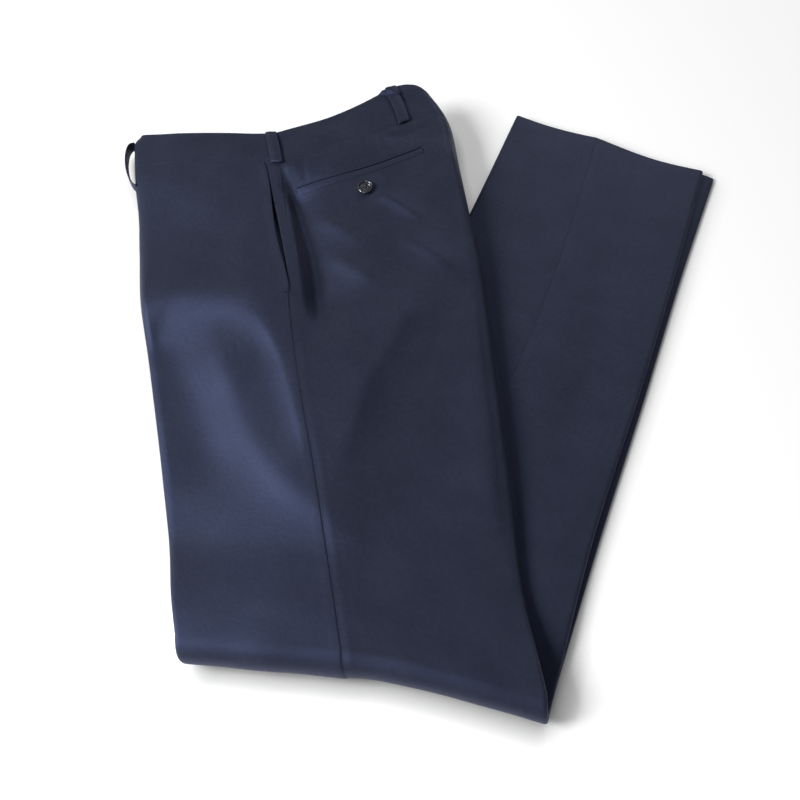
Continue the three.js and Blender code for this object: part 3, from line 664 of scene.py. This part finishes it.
def panel(name, side, edge, fine=1.0):
    """One front or back of a leg, waist seam to hem."""
    at = leg_stations(fine)
    pocket = side > 0 and edge < 0
    start = SEAM / 2 + (slit_width(at) + slit_gape(at)) * pocket
    slip = back_slip(at, side) if edge > 0 else front_slip(at)
    open_share = leaving(SLIT_END - 0.1, SLIT_END + 0.05, at)[:, None] * pocket

    def shape(distance, stations, plan):
        """The seams, the slit's lip and, on the left back, what is sewn into it."""
        sewn = side_seam(distance, stations, edge) * (1 - open_share) + band_seam(stations, plan)
        lip = SLIT_LIP_RISE * np.exp(-(distance / SLIT_LIP_WIDTH) ** 2) * open_share
        lines = folds(plan, DARTS) if side > 0 and edge > 0 else 0
        return sewn + lip + lines

    whole = smooth(WHOLE_FROM - 0.3, WHOLE_FROM, at)
    outer, d = cloth_line(at, edge, side, start, slip, int(LEG_COLUMNS * fine), shape, whole)
    doubled = 1 + np.exp(-((d - start[:, None]) / SLIT_HEM) ** 2) * open_share
    inner = thickened(outer, CLOTH * doubled, -side * edge)
    return shell(name, outer, inner, NAVY)


def finish_piece(piece, node_name):
    """A piece stands for its CAD node, which is hidden; the piece itself is not used."""
    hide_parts(node_name)


def legs(back_pieces):
    """The four panels; back_pieces, the pieces that lie on the left back, are not used."""
    for leg, side in SIDES.items():
        for place_name, edge in (("front", -1), ("back", 1)):
            node_name = f"{leg}_{place_name}"
            piece = panel(node_name + "_flannel", side, edge, 1.0 if side > 0 else RIGHT_LEG_FINENESS)
            finish_piece(piece, node_name)


# ---- slant pocket ----
FACING_PAST_EDGE = 7  # how far the facing runs on under the front
FACING_SUNK, FACING_GROOVE = 0.25, 0.6  # under the face, and its share of the seam's groove
FACING_DIP, FACING_DIP_FROM, FACING_DIP_TO = 0.6, -1.5, 2  # under the front's doubled edge
DIP_WITH_GAPE = 1.1


def pocket_facing():
    """What shows in the slant pocket: from the side seam it follows the face, then dips under
    the front's edge, deepest where the pocket stands open."""
    at = np.linspace(LEG_FROM, SLIT_END - 0.08, 70)
    share = np.linspace(0, 1, 26)
    far = slit_width(at) + slit_gape(at) + FACING_PAST_EDGE
    d = SEAM / 2 + share * (far[:, None] - SEAM / 2)
    section = Section(np.broadcast_to(at[:, None], d.shape))
    across = -d / section.width(-1)
    edge_at = slit_width(at)[:, None]
    depth = CLOTH * 2 + FACING_DIP + DIP_WITH_GAPE * slit_gape(at)[:, None]
    dip = depth * smooth(edge_at + FACING_DIP_FROM, edge_at + FACING_DIP_TO, d)
    w = face_height(section, across, 1) - FACING_SUNK - dip + groove(d) * FACING_GROOVE
    outer = place(section, across, w + band_seam(section.at, section.plan(across)))
    return shell("slant_pocket_facing", outer, thickened(outer, CLOTH, 1), NAVY)


# ---- hidden layers ----
CORE_FROM, CORE_FULL = 1.3, 3  # stations at which the core begins and has its whole height
CORE_AT_WAIST, CORE_TAPER = 0.3, 0.55  # share of that height at the waist, and lost at the edges
CORE_INSET, CORE_GAP, CORE_LEAST = 4, 1.2, 0.8  # in from the turns, under the cloth, least height
LAYER_EDGE, LAYER_WAVE, LAYER_OUT = 0.05, 40, 2.2  # the layers' edges that show in the waist


def hidden_layers():
    """The inner faces of both legs and what lies folded between them, as one rounded solid under
    the shown cloth, from inside the waist to where the legs are whole tubes."""
    at = np.linspace(CORE_FROM, WHOLE_FROM, 120)
    section = Section(at)
    reach = [section.width(e) - section.col[r] - np.maximum(section.col[t], 0) - CORE_INSET
             for e, r, t in ((-1, "radius_front", "tuck_front"), (1, "radius_back", "tuck_back"))]
    share = np.sin(np.linspace(-1, 1, 61) * np.pi / 2)
    d = np.where(share < 0, share * reach[0][:, None], share * reach[1][:, None])
    width = np.where(share < 0, section.width(-1)[:, None], section.width(1)[:, None])
    section = Section(np.broadcast_to(at[:, None], d.shape))
    across = d / width
    full = mix(CORE_AT_WAIST, 1, smooth(CORE_FROM, CORE_FULL, at))[:, None]
    fill = full * (1 - CORE_TAPER * np.abs(share) ** 6)
    near_waist = leaving(CORE_FROM, LAYER_OUT, at)[:, None]
    layers = 1 - LAYER_EDGE * np.cos(at * LAYER_WAVE)[:, None] * near_waist
    walls = []
    for side in (1, -1):
        under = face_height(section, across, side) - CLOTH - CORE_GAP
        walls.append(place(section, across, side * np.maximum(under, CORE_LEAST) * fill * layers))
    return shell("hidden_layers", walls[0], walls[1], INSIDE)


# ---- waistband ----
BAND_LINES = [0, 0.4, 1, 2, 3.5, 5.5, 8, 11, 15, 20, 25, 30, 34, 37, 39, 39.7, 40.3, 40.8]
BAND_COLUMNS = 60
BAND_FULL, BAND_SUNK = 0.4, 0.3  # full in the middle of its height, sunk at its edges
CORNER_ROUND, CORNER_REACH = 7, 0.36  # its front corner is rounded back over this share of it


def waistband(name, side):
    """One half of the waistband, from between the fronts round the crease to the centre back."""
    at = np.array(BAND_LINES) / BAND_HEIGHT

    def shape(distance, stations, plan):
        """Slightly full between its top edge and its seam."""
        full = BAND_FULL * np.sin(np.pi * np.clip(stations, 0, 1)) ** 0.5
        return band_seam(stations, plan) + full - BAND_SUNK

    corner = front_slip(at) - CORNER_ROUND * leaving(0, CORNER_REACH, at) ** 2
    halves = [cloth_line(at, edge, side, np.zeros(len(at)), slip, BAND_COLUMNS, shape)[0]
              for edge, slip in ((-1, corner), (1, 0 * at))]
    outer = np.concatenate([halves[0][:, :0:-1], halves[1]], axis=1)
    inner = thickened(outer, BAND_CLOTH, -side)
    return shell(name, outer, inner, NAVY)


# ---- belt loops ----
LOOP_WIDTH, LOOP_CLOTH, LOOP_ARCH, LOOP_GAP = 10, 1.5, 1.6, 0.35
LOOP_FOOT, LOOP_FOOT_LENGTH = 0.5, 0.08  # thicker at its turned-in foot, a share of its length
LOOP_CROWN, LOOP_EDGE = 0.7, -0.5
LOOPS = [
    # leg, place, across
    ("left", "side", -0.03),
    ("left", "back", 0.72),
    ("right", "side", -0.03),
    ("right", "back", 0.72),
    ("right", "front", -0.85),
]


def belt_loop(name, side, across):
    """A strap from the waistband's top edge to its seam, crowned across its width. On the shown
    side it is arched off the band and thicker at its turned-in foot."""
    t = np.linspace(0, 1, 40)[:, None]
    k = np.linspace(-1, 1, 11)[None, :]
    section = Section(np.broadcast_to(t, (40, 11)))
    over = across + k * (LOOP_WIDTH / 2 / section.width(-1 if across < 0 else 1))
    arch = LOOP_ARCH * np.sin(np.pi * t) ** 0.8 if side > 0 else 0 * t
    foot = LOOP_FOOT * np.exp(-((1 - t) / LOOP_FOOT_LENGTH) ** 2) * (side > 0)
    crown = LOOP_CROWN * (1 - k**2) + LOOP_EDGE
    rise = LOOP_GAP + arch + crown + foot + LOOP_CLOTH
    face = section.half_height(over) + (relief(section, over, side) if side > 0 else 0)
    outer = place(section, over, side * (face + rise))
    inner = place(section, over, side * (face + LOOP_GAP + arch))
    return shell(name, outer, inner, NAVY)


HANDLE_FROM, HANDLE_TO = 0.28, 1.6  # stations of the front loop's ends
HANDLE_STAND, HANDLE_BOW = 2, 8.5  # how far it stands off the crease at its ends, and bows out
HANDLE_HEIGHT = LOOP_ROOM + 7.5


def front_loop():
    """The left front loop, which stands out edge-on from the front crease like a handle."""
    t = np.linspace(0, 1, 48)[:, None]
    k = np.linspace(-1, 1, 9)[None, :]
    section = Section(np.broadcast_to(mix(HANDLE_FROM, HANDLE_TO, t), (48, 9)))
    away = section.front - section.seam
    away /= np.linalg.norm(away, axis=-1, keepdims=True)
    stand = HANDLE_STAND + HANDLE_BOW * np.sin(np.pi * t**0.8) ** 0.5 + 0 * k
    height = HANDLE_HEIGHT + k * LOOP_WIDTH / 2 + 0 * t

    def wall(extra):
        """One of its two faces, so much farther out than the inner one."""
        plan = section.front + away * (stand + extra)[..., None]
        return np.concatenate([plan, height[..., None]], axis=-1)

    return shell("front_belt_loop", wall(LOOP_CLOTH + 0.2 * (1 - k**4)), wall(0), NAVY)


# ---- what lies on the seat: pocket and button ----
def locate(plan):
    """Station and across of places in plan on the hips, by Newton's steps from their middle."""
    at, across = np.full(plan.shape[:-1], 2.2), np.full(plan.shape[:-1], 0.3)
    small = 1e-4
    for _ in range(10):
        here = Section(at).plan(across)
        down = (Section(at + small).plan(across) - here) / small
        over = (Section(at).plan(across + small) - here) / small
        miss = plan - here
        det = down[..., 0] * over[..., 1] - down[..., 1] * over[..., 0]
        at = at + (miss[..., 0] * over[..., 1] - miss[..., 1] * over[..., 0]) / det
        across = across + (down[..., 0] * miss[..., 1] - down[..., 1] * miss[..., 0]) / det
    return at, across


def on_seat(plan, out):
    """Points on the left leg's outer face over places in plan, moved out."""
    at, across = locate(plan)
    section = Section(at)
    return place(section, across, face_height(section, across, 1) + out)


WELT_FROM, WELT_RUN, WELT_SAG = np.array([-95, 212]), np.array([116, 39]), 5
WELT_WIDTH, WELT_RISE = 6, 0.35
UPPER_LIP_WIDTH, UPPER_LIP_RISE, UPPER_LIP_OFFSET = 1.4, 0.2, -5.0
LIP_BASE, LIP_CROWN = -0.1, 0.2
WELT_ASIDE = np.array([WELT_RUN[1], -WELT_RUN[0]]) / np.linalg.norm(WELT_RUN)


def pocket_lip(name, offset, width, rise, cols):
    """A strip along the back pocket's line, offset from it towards the leg: crowned across."""
    t = np.linspace(0, 1, 60)[:, None, None]
    k = np.linspace(-1, 1, cols)[None, :, None]
    aside = offset + WELT_SAG * np.sin(np.pi * t) + k * width / 2
    plan = WELT_FROM + WELT_RUN * t + WELT_ASIDE * aside
    crown = (1 - k[..., 0] ** 4) * LIP_CROWN + 0 * t[..., 0]
    outer, inner = on_seat(plan, LIP_BASE + rise + crown), on_seat(plan, LIP_BASE + 0 * crown)
    return shell(name, outer, inner, NAVY)


def back_pocket():
    """The welt and the narrow lip over it, with the mouth sewn into the left back between them."""
    welt = pocket_lip("back_pocket_lip", 0, WELT_WIDTH, WELT_RISE, 9)
    finish_piece(welt, "back_pocket_welt")
    upper = pocket_lip("back_pocket_upper_lip", UPPER_LIP_OFFSET, UPPER_LIP_WIDTH, UPPER_LIP_RISE, 7)
    return [welt, upper]


BUTTON_RADIUS, BUTTON_THICKNESS, BUTTON_DOME = 7.2, 2.8, 0.034
BUTTON_RIM, BUTTON_FACE, BUTTON_SEAT = 1.1, 1.7, 1.6  # rim's radius; face and back end so far in
BUTTON_LIP = [(1.55, 1.1), (1.4, 0.5), (1.25, 0.1)]  # groove inside the rim: in from it, down
BUTTON_LIFT = 1.2  # over the cloth, on its shank
HOLE_FROM_CENTRE, HOLE_RADIUS, HOLE_FLOOR = 1.75, 0.75, 1.1
HOLE_OFFSET = HOLE_FROM_CENTRE / math.sqrt(2)


def grid_of_revolution(profile, around=96):
    """Points of a profile of radii and heights turned about Z."""
    angle = np.linspace(0, 2 * np.pi, around + 1)
    r, z = profile[:, 0][:, None], profile[:, 1][:, None]
    return np.stack([r * np.cos(angle), r * np.sin(angle), z + 0 * angle], axis=-1)


def button_frame():
    """The button's middle on the cloth, and the directions along and out of it."""
    spots = BUTTON_AT + np.array([[0, 0], [6, 0], [-6, 0], [0, 6], [0, -6]])
    points = on_seat(spots, 0.0)
    along_x, along_y = points[1] - points[2], points[3] - points[4]
    out = np.cross(along_x, along_y)
    out /= np.linalg.norm(out)
    along_x = along_x / np.linalg.norm(along_x)
    return points[0] + out * BUTTON_LIFT, along_x, np.cross(out, along_x), out


def set_on_button(points):
    """Points of the button's own frame, put where the button is."""
    middle, x, y, out = button_frame()
    return middle + points[..., :1] * x + points[..., 1:2] * y + points[..., 2:] * out


def button():
    """A four-hole button: a domed face inside a rounded rim, sunk deep at each hole."""
    r, h = BUTTON_RADIUS, BUTTON_THICKNESS
    turn = np.linspace(0, np.pi, 15)
    rim = np.column_stack([r - BUTTON_RIM + BUTTON_RIM * np.sin(turn), h / 2 + (h / 2) * np.cos(turn)])
    reach = np.linspace(0.001, r - BUTTON_FACE, 46)
    dome = np.column_stack([reach, h - 0.25 - BUTTON_DOME * reach**2])
    lip = np.array([r, h]) - BUTTON_LIP
    bottom = np.column_stack([np.linspace(r - BUTTON_SEAT, 0.001, 12), np.zeros(12)])
    profile = np.concatenate([dome, lip, rim, bottom])
    grid = grid_of_revolution(profile)
    top = (np.arange(len(profile)) < len(dome))[:, None]
    for i, j in ((1, 1), (1, -1), (-1, -1), (-1, 1)):
        away = np.hypot(grid[..., 0] - i * HOLE_OFFSET, grid[..., 1] - j * HOLE_OFFSET)
        hole = np.exp(-((away / HOLE_RADIUS) ** 6))
        grid[..., 2] -= np.where(top, hole * (h - HOLE_FLOOR), 0)
    points = in_frame(set_on_button(grid))
    rows, cols = grid.shape[:2]
    index = np.arange(rows * cols).reshape(rows, cols)
    index[:, -1] = index[:, 0]
    flat = (grid[..., :2] * MM).reshape(-1, 2)
    return mesh_object("back_pocket_horn_button", points.reshape(-1, 3), quads(index), flat, HORN, 60)


def cord_mesh(name, path, radius, material, around=8):
    """A thread along a path in the tables' millimetres: a circle carried along it, closed to a
    point at either end."""
    path = np.asarray(path, float)
    ahead = np.gradient(path, axis=0)
    ahead /= np.linalg.norm(ahead, axis=1, keepdims=True)
    up = np.array([0, 0, 1.0]) if abs(ahead[0, 2]) < 0.9 else np.array([1.0, 0, 0])
    aside = np.cross(ahead, up)
    aside /= np.linalg.norm(aside, axis=1, keepdims=True)
    over = np.cross(aside, ahead)
    angle = np.linspace(0, 2 * np.pi, around, endpoint=False)
    taper = np.minimum(1, np.arange(len(path)) + 0.02)
    taper = np.minimum(taper, taper[::-1])[:, None, None] * radius
    ring = np.cos(angle)[None, :, None] * aside[:, None] + np.sin(angle)[None, :, None] * over[:, None]
    grid = path[:, None] + ring * taper
    index = np.arange(grid.shape[0] * around).reshape(-1, around)
    index = np.concatenate([index, index[:, :1]], axis=1)
    flat = grid[..., :2].reshape(-1, 2) * MM
    return mesh_object(name, in_frame(grid.reshape(-1, 3)), quads(index), flat, material, 80)


STITCH_RADIUS, STITCH_RISE = 0.22, 1.35
STITCH_BASE = BUTTON_THICKNESS - 1.4
TACK_RADIUS, TACK_RISE = 0.16, 0.25


def button_thread():
    """Two pairs of parallel stitches over the button, each from hole to hole."""
    t = np.linspace(0, 1, 17)
    for number, j in enumerate((-1, 1)):
        for strand, shift in enumerate((-STITCH_RADIUS, STITCH_RADIUS)):
            x = mix(-HOLE_OFFSET, HOLE_OFFSET, t)
            z = STITCH_BASE + STITCH_RISE * np.sin(np.pi * t) ** 0.35
            stitch = np.column_stack([x, np.full_like(x, j * HOLE_OFFSET + shift), z])
            cord_mesh(f"button_thread_{number}{strand}", set_on_button(stitch), STITCH_RADIUS, THREAD)


def slit_tack():
    """The bar tack across the foot of the slant pocket's opening: short stitches side by side."""
    foot = Section(np.array([SLIT_END + 0.03])).plan(np.array([0.0]))[0]
    across = np.array([0.2, 1])
    across = across / np.linalg.norm(across) * 1.6 / 2
    s = np.linspace(-1, 1, 9)[:, None]
    rise = TACK_RISE + TACK_RISE * np.sqrt(np.clip(1 - s[:, 0] ** 2, 0, 1))
    for i, t in enumerate(np.linspace(0, 1, 7)):
        line = mix(foot + [-4.5, -0.5], foot + [0.8, 0.3], t) + across * s
        cord_mesh(f"slant_pocket_tack_{i}", on_seat(line, rise), TACK_RADIUS, THREAD, around=6)


# ---- floor, light and camera ----
FLOOR_SIZE = 6  # metres from its middle to its sides
FLOOR_WHITE, FLOOR_SHADE, FLOOR_GLOW = 0.86, 0.18, 0.3  # its colour, open and shaded, and its glow
SHADE_FACING = -0.5, 0.5, 0.7  # towards what shades the floor: the cloth on its left and far side
SHADE_REACH, SHADE_DEPTH = 0.021, 1.3
SURROUND = 0.14
LIGHTS = [
    # name, place, size, watts
    ("large window, from the left", (-2.24, -0.38, 1.65), 1.1, 91),
    ("small window, near the knee", (-0.34, -0.39, 0.42), 0.2, 1.0),
    ("far wall", (0.85, 2.2, 1.6), 0.9, 11),
]
CAMERA_HEIGHT, CAMERA_ELEVATION = 0.655, 60  # metres and degrees
LENS, SENSOR = 40.5, 36


def floor_material():
    """Pale paper with a soft shade close to the cloth, wider on its right and near sides."""
    material, tree, shader = new_material("pale floor", Roughness=0.9, Emission_Color=(1, 1, 1, 1))
    x, y, z = SHADE_FACING
    facing = node(tree, "ShaderNodeCombineXYZ", X=x, Y=y, Z=z).outputs["Vector"]
    clear = node(tree, "ShaderNodeAmbientOcclusion", {"samples": 16},
                 Distance=SHADE_REACH, Normal=facing).outputs["AO"]
    share = node(tree, "ShaderNodeMath", {"operation": "MULTIPLY_ADD", "use_clamp": True},
                 _0=clear, _1=SHADE_DEPTH, _2=1 - SHADE_DEPTH).outputs[0]
    shaded, white = ((tone, tone, tone, 1) for tone in (FLOOR_SHADE, FLOOR_WHITE))
    colour = node(tree, "ShaderNodeMix", {"data_type": "RGBA"}, Factor=share, A=shaded, B=white)
    glow = node(tree, "ShaderNodeMath", {"operation": "MULTIPLY"}, _0=share, _1=FLOOR_GLOW)
    tree.links.new(colour.outputs["Result"], shader.inputs["Base Color"])
    tree.links.new(glow.outputs[0], shader.inputs["Emission Strength"])
    return material


def studio():
    """A pale floor, the lights and a dim surround."""
    mesh = bpy.data.meshes.new("floor")
    corners = [(FLOOR_SIZE * i, FLOOR_SIZE * j, 0) for i, j in ((-1, -1), (1, -1), (1, 1), (-1, 1))]
    mesh.from_pydata(corners, [], [(0, 1, 2, 3)])
    add_object("floor", mesh)
    mesh.materials.append(floor_material())

    world = bpy.data.worlds.new("surround")
    world.use_nodes = True
    background = world.node_tree.nodes["Background"].inputs
    background["Color"].default_value = (1, 1, 1, 1)
    background["Strength"].default_value = SURROUND
    bpy.context.scene.world = world

    for name, location, size_m, watts in LIGHTS:
        light = bpy.data.lights.new(name, "AREA")
        light.shape, light.size, light.energy = "SQUARE", size_m, watts
        lamp = add_object(name, light)
        lamp.location = location
        lamp.rotation_euler = (-Vector(location)).to_track_quat("-Z", "Y").to_euler()


def camera_over_floor():
    """The camera, looking down and along +Y."""
    camera = add_object("camera", bpy.data.cameras.new("camera"))
    camera.data.lens, camera.data.sensor_width = LENS, SENSOR
    aim = in_frame(np.array([0, 0, 0]))
    away = CAMERA_HEIGHT / math.tan(math.radians(CAMERA_ELEVATION))
    camera.location = (aim[0], aim[1] - away, CAMERA_HEIGHT)
    camera.rotation_euler = (math.radians(90 - CAMERA_ELEVATION), 0, 0)
    bpy.context.scene.camera = camera


camera_over_floor()
studio()
bpy.context.scene.view_settings.view_transform = "Standard"
finish_piece(hidden_layers(), "inner_layers")
legs(back_pocket())
finish_piece(pocket_facing(), "left_pocket_facing")
for leg, leg_side in SIDES.items():
    half = waistband(f"waistband_{leg}_flannel", leg_side)
    finish_piece(half, f"waistband_{leg}")
for leg, loop_place, loop_across in LOOPS:
    loop_node = f"belt_loop_{leg}_{loop_place}"
    loop = belt_loop(loop_node + "_strap", SIDES[leg], loop_across)
    finish_piece(loop, loop_node)
finish_piece(front_loop(), "belt_loop_left_front")
slit_tack()
finish_piece(button(), "back_pocket_button")
button_thread()
